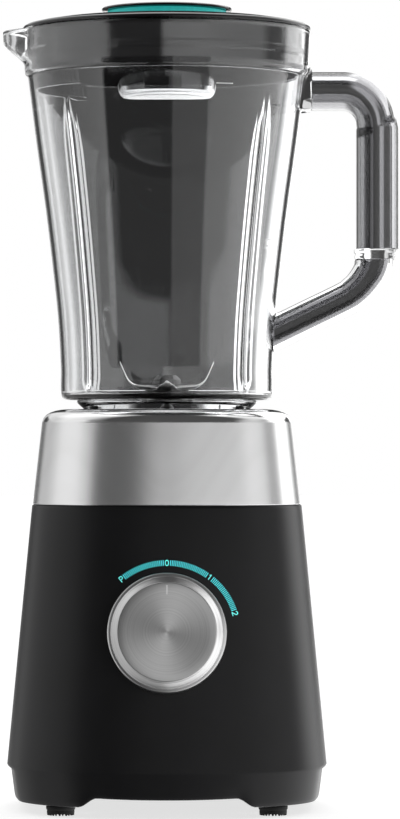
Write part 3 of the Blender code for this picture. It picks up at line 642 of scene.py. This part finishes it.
def stroke(start, end):
    """The corners of a straight pen stroke."""
    start, end = np.array(start, float), np.array(end, float)
    along = (end - start) / np.linalg.norm(end - start) * PEN / 2
    square = np.array([-along[1], along[0]])
    tips = (start - along * 0.6, end + along * 0.6)
    return [tips[0] - square, tips[1] - square, tips[1] + square, tips[0] + square]


def arc(across, along, middle_height, start, end, points):
    """Points on an ellipse's arc, angles in degrees from its right."""
    turns = np.radians(np.linspace(start, end, points))
    return [(across * math.cos(turn), middle_height + along * math.sin(turn)) for turn in turns]


def glyph(character):
    """Polylines of a character about its middle, 2.6 tall."""
    if character == "0":
        return [arc(0.8, 1.3, 0.0, 90, -270, 17)]
    if character == "1":
        return [[(-0.55, 0.75), (0.1, 1.3), (0.1, -1.3)]]
    if character == "2":
        return [arc(0.8, 0.7, 0.6, 170, -35, 9) + [(-0.8, -1.3), (0.85, -1.3)]]
    bowl = [(0.1 + across, up) for across, up in arc(0.7, 0.7, 0.6, 90, -90, 8)]
    return [[(-0.7, -1.3), (-0.7, 1.3)] + bowl + [(-0.7, -0.1)]]


def make_scale(teal, pale):
    """The arc of ticks over the knob with its generic marks: pulse, off and two speeds."""
    ticks = []
    low, high = SCALE_RADIUS - SCALE_TICK / 2, SCALE_RADIUS + SCALE_TICK / 2
    half = SCALE_TICK_HALF_WIDTH
    for (_, first), (_, last) in zip(SCALE_MARKS, SCALE_MARKS[1:]):
        span = last - first - 2 * MARK_GAP
        steps = round(span / SCALE_PITCH)
        for step in range(steps + 1):
            degrees = first + MARK_GAP + span * step / steps
            corners = [radial(low, degrees, -half), radial(low, degrees, half)]
            corners += [radial(high, degrees, half), radial(high, degrees, -half)]
            ticks.append((raised(corners), False))
    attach(add_many("dial_ticks", ticks, teal), "base")
    strokes = []
    for character, degrees in SCALE_MARKS:
        for line in glyph(character):
            for start, end in zip(line, line[1:]):
                pen = stroke(start, end)
                corners = [radial(SCALE_RADIUS + up, degrees, across) for across, up in pen]
                strokes.append((raised(corners), False))
    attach(add_many("dial_marks", strokes, pale), "base")


def make_knob(face_metal, rim_metal, pale):
    """A turned cap: rim, lip, sloping ring, bright edge and a face brushed in circles."""
    rings = turned(KNOB_OUTLINE, KNOB_SIDES)
    rings += turned([(radius, KNOB_FACE) for radius in (23.2, 20, 15, 10, 5, 0.4)], KNOB_SIDES)
    piece = add("knob_turned_cap", rings, (face_metal, rim_metal), at=KNOB_PLACE, turn=KNOB_TURN, sharp=30)
    for polygon in piece.data.polygons[: (len(KNOB_OUTLINE) - 1) * KNOB_SIDES]:
        polygon.material_index = 1
    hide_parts("knob_cap")
    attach(piece, "knob")
    half = POINTER_HALF_WIDTH
    pointer = [(-half, POINTER_START), (half, POINTER_START), (half, POINTER_END), (-half, POINTER_END)]
    rings = [np.array([(x, y, KNOB_FACE + out) for x, y in pointer]) for out in (0.02, 0.12)]
    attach(add("knob_pointer", rings, pale, at=KNOB_PLACE, turn=KNOB_TURN), "knob")


# ---------------------------------------------------------------- jug

JUG_OUTLINE = (
    (53.0, 212.0), (53.0, 220.0), (54.3, 243.0), (56.9, 268.0), (60.4, 297.0), (65.0, 330.0), (67.2, 347.0),
    (69.3, 363.6),
)
JUG_STEPS = 11  # rings from one point of the outline to the next
JUG_FOOT = ((49.5, 203.0), (50.9, 203.1), (52.0, 203.8), (52.6, 205.0), (52.9, 207.0), (53.0, 209.5))
JUG_STEP = ((69.55, 364.3), (69.95, 364.9), (70.5, 365.3), (70.85, 365.8), (70.95, 366.6))
# From the wall's inside over the floor to the bore for the blade bush, and back along the underside
JUG_FLOOR = (
    (50.8, 207.6), (50.7, 206.6), (50.4, 205.9), (49.9, 205.6), (49.2, 205.5), (30, 205.5), (12.0, 205.5),
    (8.2, 205.5), (8.2, 203.0), (12.0, 203.0), (30, 203.0),
)
JUG_RING = ((45.0, 202.7), (45.0, 201.4), (41.0, 198.0), (41.0, 184.8), (38.4, 184.8), (38.4, 202.7))
JUG_WALL = 2.2
JUG_RIM, RIM_RADIUS = 387.0, 72.0
SPOUT_DEPTH, SPOUT_START, SPOUT_FULL = 10.0, 370.5, 381.0
SPOUT_HALF_ANGLE = math.radians(22)
PAD_REACH, PAD_HALF_WIDTH, PAD_BOTTOM, PAD_TOP = 72.0, 13.0, 347.0, 366.5
PAD_BOTTOM_FADE, PAD_TOP_FADE, PAD_SIDE_FADE = 0.8, 3.5, 1.2
PAD_LEVELS = (346.6, 346.9, 347.2, 347.5, 347.8)  # rings set close where the flat starts
RIB_ANGLES = (43, 137, 223, 317)
RIB_DEPTH, RIB_HALF_WIDTH = 1.2, 2.4
RIB_TOP, RIB_TOP_FADE, RIB_BOTTOM, RIB_BOTTOM_FADE = 355.0, 30.0, 206.5, 6.0
JUG_SIDES = 384
# Height, and the angles in degrees from the front between which each mark runs
LEVEL_MARKS = ((356.0, 20.5, 28.0), (281.5, 56.0, 61.5), (278.5, 57.5, 60.5))
LEVEL_MARK_HALF = 0.3


def jug_ring(radius, z, ribbed=True):
    """A ring of the jug's wall, drawn out at -X into the spout and pressed in at its four ribs."""
    turn = np.arange(JUG_SIDES) * 2 * math.pi / JUG_SIDES
    reach = np.full(JUG_SIDES, float(radius))
    rise = float(np.clip((z - SPOUT_START) / (SPOUT_FULL - SPOUT_START), 0, 1))
    rise = 0.5 * rise + 0.5 * float(eased(rise))
    away = abs(turn - math.pi) / SPOUT_HALF_ANGLE
    reach += SPOUT_DEPTH * rise * np.cos(np.clip(away, 0, 1) * math.pi / 2) ** 2
    if ribbed:
        full = float(eased((RIB_TOP - z) / RIB_TOP_FADE) * eased((z - RIB_BOTTOM) / RIB_BOTTOM_FADE))
        half = RIB_HALF_WIDTH * math.sqrt(max(full, 1e-4))
        for degrees in RIB_ANGLES:
            off = (turn - math.radians(degrees) + math.pi) % (2 * math.pi) - math.pi
            reach -= RIB_DEPTH * full * np.exp(-((off * radius / half) ** 2) * 1.6)
    return np.stack([reach * np.cos(turn), reach * np.sin(turn), np.full(JUG_SIDES, float(z))], 1)


def padded(ring):
    """The same ring with the flat that the grip stands against."""
    z = ring[0, 2]
    share = eased((z - PAD_BOTTOM) / PAD_BOTTOM_FADE) * eased((PAD_TOP + PAD_TOP_FADE - z) / PAD_TOP_FADE)
    x, y = ring[:, 0], ring[:, 1]
    flat = float(share) * eased((PAD_HALF_WIDTH + PAD_SIDE_FADE - abs(y)) / PAD_SIDE_FADE) * (x > 0)
    ring[:, 0] = x + np.clip(PAD_REACH - x, 0, None) * flat
    return ring


def make_jug(glass):
    """The clear jug, inside and out, and the ring under it that sits in the base's well."""
    body = through(JUG_OUTLINE, JUG_STEPS)
    outside = [jug_ring(radius, z) for radius, z in JUG_FOOT]
    outside += [jug_ring(radius, z) for radius, z in body if z < 346.5]
    collar = [(between(67.1, 67.2, z, 346, 347), z) for z in PAD_LEVELS]
    outside += [padded(jug_ring(radius, z)) for radius, z in collar]
    outside += [padded(jug_ring(radius, z)) for radius, z in body if z > 348.0]
    outside += [padded(jug_ring(radius, z)) for radius, z in JUG_STEP]
    upper = np.linspace(368, 386.0, 18)
    outside += [padded(jug_ring(between(71.0, RIM_RADIUS, z, 366, JUG_RIM), z)) for z in upper]
    outside += [jug_ring(71.85, 386.6), jug_ring(71.3, JUG_RIM)]
    inside = [jug_ring(70.4, JUG_RIM), jug_ring(69.9, 386.6)]
    inside += [jug_ring(between(68.4, 69.7, z, 366, JUG_RIM), z) for z in upper[::-1]]
    inside += [jug_ring(radius - JUG_WALL, z) for radius, z in body[::-1]]
    inside += [jug_ring(radius, z, False) for radius, z in JUG_FLOOR]
    piece = add("jug_glass", outside + inside, glass, joined=True, sharp=50)
    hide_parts("jug")
    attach(piece, "jug_assembly")
    piece = add("jug_ring_clear", turned(rounded(JUG_RING, 0.5)), glass, joined=True)
    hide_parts("jug_base_ring")
    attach(piece, "jug_assembly")


def make_jug_marks(pale):
    """Level marks on the jug's wall: short lines, with the highest one longest."""
    curve = through(JUG_OUTLINE, JUG_STEPS)
    half = LEVEL_MARK_HALF
    shells = []
    for z, start, end in LEVEL_MARKS:
        radius = float(np.interp(z, curve[:, 1], curve[:, 0]))
        rings = []
        for out in (0.03, 0.1):
            corners = []
            for degrees, lift in ((start, -half), (end, -half), (end, half), (start, half)):
                turn = math.radians(degrees)
                reach = radius + out
                corners.append((reach * math.sin(turn), -reach * math.cos(turn), z + lift))
            rings.append(np.array(corners))
        shells.append((rings, False))
    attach(add_many("jug_level_marks", shells, pale), "jug_assembly")


# ---------------------------------------------------------------- handle

HANDLE_HALF_WIDTH = 12.0
HANDLE_WALL = 2.6
HANDLE_CORNER, HANDLE_INNER_CORNER = 3.2, 2.6
GRIP_HALF, GRIP_TOP_HALF = 10.4, 9.4
GRIP_X, GRIP_Z, GRIP_BEND = 105.2, 357.1, 16.5
GRIP_STEP = 0.9  # how far out the grip's middle moves under the bend
BEND_X = GRIP_X - GRIP_STEP
RING_TOP = 278.1
# The arm's middle line, with half its height
ARM = (
    (103.3, 272.8, 9.4), (103.3, 270.8, 9.3), (101.6, 266.2, 9.0), (97.4, 260.2, 8.6), (93.4, 256.4, 8.5),
    (88.7, 253.3, 8.4), (70.0, 244.2, 8.4),
)
ARM_RUN = 14.0  # how far beyond the last point the arm meets the jug, to read the jug's radius there
ARM_GAP = 0.35
# How far down the clear ring, and how far its side stands out there: two beads with a groove between
RING_BEADS = (
    (0.0, -0.5), (0.35, -0.1), (1.6, 0.0), (2.1, -0.6), (2.9, -0.6), (3.4, 0.0), (4.65, -0.1), (5.0, -0.5),
)


def swept(path, halves, wide, exponent=HANDLE_CORNER, count=72):
    """Rings square to a path in the XZ plane."""
    path = np.array(path, float)
    along = np.gradient(path, axis=0)
    along[0], along[-1] = path[1] - path[0], path[-1] - path[-2]
    along /= np.linalg.norm(along, axis=1)[:, None]
    section = squared(1.0, 0.0, exponent, count)
    rings = []
    for (x, z), (right, up), half in zip(path, along, halves):
        out = section[:, 0] * half
        rings.append(np.stack([x - up * out, section[:, 1] * wide, z + right * out], 1))
    return rings


def hollow(path, halves):
    """The rings of a hollow handle's outside and of its rounder inside."""
    outer = swept(path, halves, HANDLE_HALF_WIDTH)
    thinner = [half - HANDLE_WALL for half in halves]
    inner = swept(path, thinner, HANDLE_HALF_WIDTH - HANDLE_WALL, HANDLE_INNER_CORNER)
    return outer, inner


def make_grip(smoke):
    """The grip: out from the jug, round the bend and down, a little further out under the bend."""
    centre = (BEND_X - GRIP_BEND, GRIP_Z - GRIP_BEND)
    turns = np.radians(np.linspace(90, 0, 22))
    path = [(x, GRIP_Z) for x in (72.3, 74.0, 80.0, 86.0)]
    path += [(centre[0] + GRIP_BEND * math.cos(t), centre[1] + GRIP_BEND * math.sin(t)) for t in turns]
    halves = [GRIP_TOP_HALF] * len(path)
    for share, drop in ((0.1, 0.6), (0.5, 1.1), (0.9, 1.6), (1.0, 2.2)):
        path.append((BEND_X + GRIP_STEP * share, GRIP_Z - GRIP_BEND - drop))
        halves.append(GRIP_TOP_HALF + share)
    for z in (330, 315, 300, 288, RING_TOP + 0.3):
        path.append((GRIP_X, z))
        halves.append(GRIP_HALF)
    outer, inner = hollow(path, halves)
    piece = add("grip_shell", outer + inner[::-1], smoke, joined=True, sharp=50)
    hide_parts("handle_grip")
    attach(piece, "jug_assembly")


def make_ring_and_arm(dark_smoke, glass):
    """The clear ring under the grip, and the arm that runs back to the jug's wall."""
    path = [(GRIP_X - 1.1, RING_TOP - drop) for drop, _ in RING_BEADS]
    height = RING_BEADS[-1][0]
    halves = [between(GRIP_HALF + 0.2, GRIP_HALF - 0.4, drop, 0, height) + out for drop, out in RING_BEADS]
    piece = add("handle_ring_clear", swept(path, halves, HANDLE_HALF_WIDTH), glass, sharp=50)
    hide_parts("handle_ring")
    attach(piece, "jug_assembly")

    curve = through(ARM, 8)
    path = [(x, z) for x, z, _ in curve]
    halves = [half for _, _, half in curve]
    slope = (ARM[-1][1] - ARM[-2][1]) / (ARM[-1][0] - ARM[-2][0])
    outer, inner = hollow(path, halves)
    outline = through(JUG_OUTLINE, JUG_STEPS)
    for rings in (outer, inner):
        end = rings[-1].copy()
        reach = np.interp(end[:, 2] - slope * ARM_RUN, outline[:, 1], outline[:, 0]) + ARM_GAP
        end_x = np.sqrt(np.maximum(reach**2 - end[:, 1] ** 2, 0))
        end[:, 2] += slope * (end_x - end[:, 0])
        end[:, 0] = end_x
        rings.append(end)
    piece = add("arm_shell", outer + inner[::-1], dark_smoke, joined=True, sharp=50)
    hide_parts("handle_arm")
    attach(piece, "jug_assembly")


# ---------------------------------------------------------------- lid and cup

FEED_RADIUS = 25.6
LID_RADIUS, LID_BRIM, SKIRT_RADIUS, SKIRT_BOTTOM = 72.0, 387.4, 67.4, 364.5
# From the brim over the dome and down the filler hole, then back along the underside and the skirt
LID_OUTLINE = (
    (SKIRT_RADIUS, LID_BRIM), (LID_RADIUS - 0.2, LID_BRIM), (LID_RADIUS, LID_BRIM + 0.3), (LID_RADIUS, 388.4),
    (LID_RADIUS - 0.5, 389.0), (70.6, 389.5), (68.0, 390.1), (61.0, 391.3), (53.5, 392.1), (46.0, 392.8),
    (40.0, 393.3), (34.5, 393.6), (31.5, 393.7), (26.2, 393.7), (25.8, 393.5), (FEED_RADIUS, 393.2),
    (FEED_RADIUS, 381.3), (25.9, 381.0), (27.5, 381.0), (27.8, 381.3), (27.8, 391.0), (46.0, 390.4),
    (64.9, 387.6), (65.2, 387.0), (65.2, SKIRT_BOTTOM + 0.2), (65.4, SKIRT_BOTTOM), (67.2, SKIRT_BOTTOM),
    (SKIRT_RADIUS, SKIRT_BOTTOM + 0.2),
)
STRAINER_REACH = math.radians(50)
COMB_PITCH = math.radians(2.6)
COMB_SHARE = 0.33  # half a tooth's width, as a share of the pitch
COMB_THICKNESS, RIM_THICKNESS = 1.2, 1.3
COMB_TOOTH = ((65.9, SKIRT_BOTTOM - 0.1), (64.7, 358.4))
COMB_RIM = ((64.6, 358.3), (64.4, 357.2))
CUP_OUTLINE = (
    (0.5, 354.0), (12.0, 354.0), (19.6, 354.0), (21.6, 354.25), (23.1, 355.1), (24.0, 356.6), (24.4, 358.8),
    (24.6, 375.0), (24.8, 396.4), (24.5, 396.8), (23.8, 396.8), (23.6, 396.4), (23.4, 375.0), (23.2, 359.1),
    (22.9, 357.3), (22.2, 356.1), (21.1, 355.4), (19.4, 355.2), (12.0, 355.2), (0.5, 355.2),
)
CAP_RING = ((25.2, 394.0), (29.8, 394.0), (29.8, 396.9), (25.2, 396.9))
CAP_OUTLINE = (
    (0.5, 397.2), (31.8, 397.2), (32.3, 397.35), (32.6, 397.7), (32.5, 398.2), (32.0, 398.6), (31.0, 398.75),
    (28.2, 398.85), (27.8, 398.7), (27.2, 398.7), (26.8, 398.85), (12.0, 398.9), (0.5, 398.9),
)


def bent_bar(radius, thickness, z, turns):
    """A level ring of points round a bar that follows a circle through the given angles."""
    outer = radius + thickness
    ring = [(radius * math.cos(turn), radius * math.sin(turn), z) for turn in turns]
    ring += [(outer * math.cos(turn), outer * math.sin(turn), z) for turn in turns[::-1]]
    return np.array(ring)


def make_lid(gloss):
    """The lid with its domed top, its skirt, and a comb under the skirt that strains at the spout."""
    shells = [(turned(LID_OUTLINE, 240), True)]
    count = round(STRAINER_REACH / COMB_PITCH)
    for step in range(-count, count + 1):
        turns = [math.pi + step * COMB_PITCH + side * COMB_PITCH * COMB_SHARE for side in (-1, 1)]
        shells.append(([bent_bar(radius, COMB_THICKNESS, z, turns) for radius, z in COMB_TOOTH], False))
    turns = np.linspace(math.pi - STRAINER_REACH, math.pi + STRAINER_REACH, 48)
    shells.append(([bent_bar(radius, RIM_THICKNESS, z, turns) for radius, z in COMB_RIM], False))
    piece = add_many("lid_moulding", shells, gloss, sharp=40)
    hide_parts("lid")
    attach(piece, "lid_assembly")


def make_cup(glass, teal, gloss):
    """The measuring cup with its rounded floor, the bright ring and the black cap."""
    piece = add("cup_clear", turned(CUP_OUTLINE, 144), glass, joined=True, sharp=50)
    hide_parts("measuring_cup")
    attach(piece, "measuring_cup_assembly")
    piece = add("cap_ring_bright", turned(rounded(CAP_RING, 0.4)), teal, joined=True)
    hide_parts("cap_ring")
    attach(piece, "measuring_cup_assembly")
    piece = add("cap_disc", turned(CAP_OUTLINE), gloss)
    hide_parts("filler_cap")
    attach(piece, "measuring_cup_assembly")


# ---------------------------------------------------------------- blades

BLADE_HALF_THICKNESS, BLADE_HALF_EDGE = 0.6, 0.08
BLADE_FLAT = 0.62  # the share of the width that isn't ground
# Points along each blade: how far out, how high, and half the width there
UPPER_BLADE = (
    (-23.5, 221.8, 0.7), (-18.0, 211.4, 5.0), (-9.0, 209.5, 7.0), (9.0, 209.5, 7.0), (18.0, 211.4, 5.0),
    (23.5, 221.8, 0.7),
)
LOWER_BLADE = (
    (-27.0, 211.6, 0.7), (-14.0, 208.3, 5.8), (-9.0, 207.9, 7.0), (9.0, 207.9, 7.0), (14.0, 208.3, 5.8),
    (27.0, 211.6, 0.7),
)


def blade_rings(path):
    """A strip thick in the middle and ground thin at both edges."""
    thick, thin = BLADE_HALF_THICKNESS, BLADE_HALF_EDGE
    rings = []
    for x, z, half in through(path, 6):
        flat = half * BLADE_FLAT
        under = [(-half, -thin), (-flat, -thick), (flat, -thick), (half, -thin)]
        over = [(half, thin), (flat, thick), (-flat, thick), (-half, thin)]
        rings.append(np.array([(x, y, z + lift) for y, lift in under + over]))
    return rings


def make_blades(steel):
    """The two crossed blades."""
    piece = add("blade_upper_ground", blade_rings(UPPER_BLADE), steel, sharp=20)
    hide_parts("upper_blade")
    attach(piece, "blade_set")
    piece = add("blade_lower_ground", blade_rings(LOWER_BLADE), steel, turn=(0, 0, math.pi / 2), sharp=20)
    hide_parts("lower_blade")
    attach(piece, "blade_set")


# ---------------------------------------------------------------- carried-over nodes


def dress(material, *nodes):
    """Gives CAD nodes a better material."""
    for node in nodes:
        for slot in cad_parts[node].material_slots:
            slot.material = material


def main():
    make_camera()
    make_world()
    make_lights()
    make_floor()
    bpy.context.scene.view_settings.view_transform = "Standard"

    black = moulded("satin_black", (0.008, 0.008, 0.0085), (0.011, 0.011, 0.012), 0.36, specular=0.22)
    gloss = moulded("gloss_black", (0.005, 0.005, 0.0055), (0.008, 0.008, 0.009), 0.1, 0.000004, 0.4)
    side = ringed_metal("band_brushed", grey(0.69), (0.74, 0.74, 0.745), 0.26, 0.0, 300.0)
    shoulder = brushed("band_shoulder", grey(0.66), grey(0.74), 0.12, (1, 1, 8), 40)
    plain = brushed("plain_steel", (0.42, 0.42, 0.43), (0.58, 0.58, 0.6), 0.35, (1, 1, 8), 200)
    sharp = brushed("blade_steel", grey(0.86), grey(0.95), 0.34, (6, 1, 1), 200)
    dark_steel = brushed("dark_steel", grey(0.06), grey(0.12), 0.4, (1, 1, 8), 200)
    copper = brushed("copper_wire", (0.5, 0.2, 0.08), (0.75, 0.36, 0.16), 0.35, (1, 1, 20), 200)
    face = ringed_metal("knob_face", grey(0.56), grey(0.64), 0.42, 0.7)
    rim = ringed_metal("knob_rim", grey(0.5), grey(0.58), 0.32, 0.3)
    glass = clear("clear_plastic", (0.95, 0.955, 0.96))
    smoke = clear("smoke_plastic", (0.4, 0.4, 0.41))
    dark_smoke = clear("dark_smoke_plastic", (0.24, 0.24, 0.25))
    rubber = moulded("rubber", grey(0.008), grey(0.014), 0.75, 0.0001, 0.3)
    # The cap ring's teal, with a painted glow that stands in for the bright highlight on it
    teal = printed("teal_painted_glow", (0.03, 0.66, 0.62), 0.3)
    board = moulded("board_green", (0.02, 0.12, 0.06), (0.03, 0.2, 0.09), 0.4)
    carbon = moulded("brush_carbon", grey(0.02), grey(0.04), 0.7)
    # These inks glow with painted light: the teal ticks most, the dial's characters less, the pointer and the
    # jug's level marks faintly
    ink = printed("teal_ink", (0.08, 0.75, 0.8), 1.0)
    pale_ink = printed("pale_teal_ink", (0.15, 0.8, 0.76), 0.7)
    pale = printed("pale_grey_ink", grey(0.8), 0.15)

    every = list(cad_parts)
    dress(black, *every)
    dress(plain, "motor_frame", "stator_core", "upper_bridge", "lower_bridge", "motor_bolt_front_right")
    dress(plain, "motor_bolt_rear_left", "upper_bearing", "lower_bearing", "motor_shaft", "knob_stem")
    dress(plain, "interlock_plunger", "blade_spindle")
    dress(dark_steel, "blade_cap_nut")
    dress(plain, *[node for node in every if node.startswith("cover_screw")])
    dress(copper, "field_coil_left", "field_coil_right", "armature", "commutator")
    dress(rubber, "motor_damper", "bush_seal")
    dress(gloss, "lid_seal")
    dress(carbon, "carbon_brush_left", "carbon_brush_right")
    dress(board, "control_board")

    make_housing(black)
    make_band(side, shoulder)
    make_feet(rubber)
    make_gland(black)
    make_scale(ink, pale_ink)
    make_knob(face, rim, pale)
    make_jug(glass)
    make_jug_marks(pale)
    make_grip(smoke)
    make_ring_and_arm(dark_smoke, glass)
    make_lid(gloss)
    make_cup(glass, teal, gloss)
    make_blades(sharp)


main()
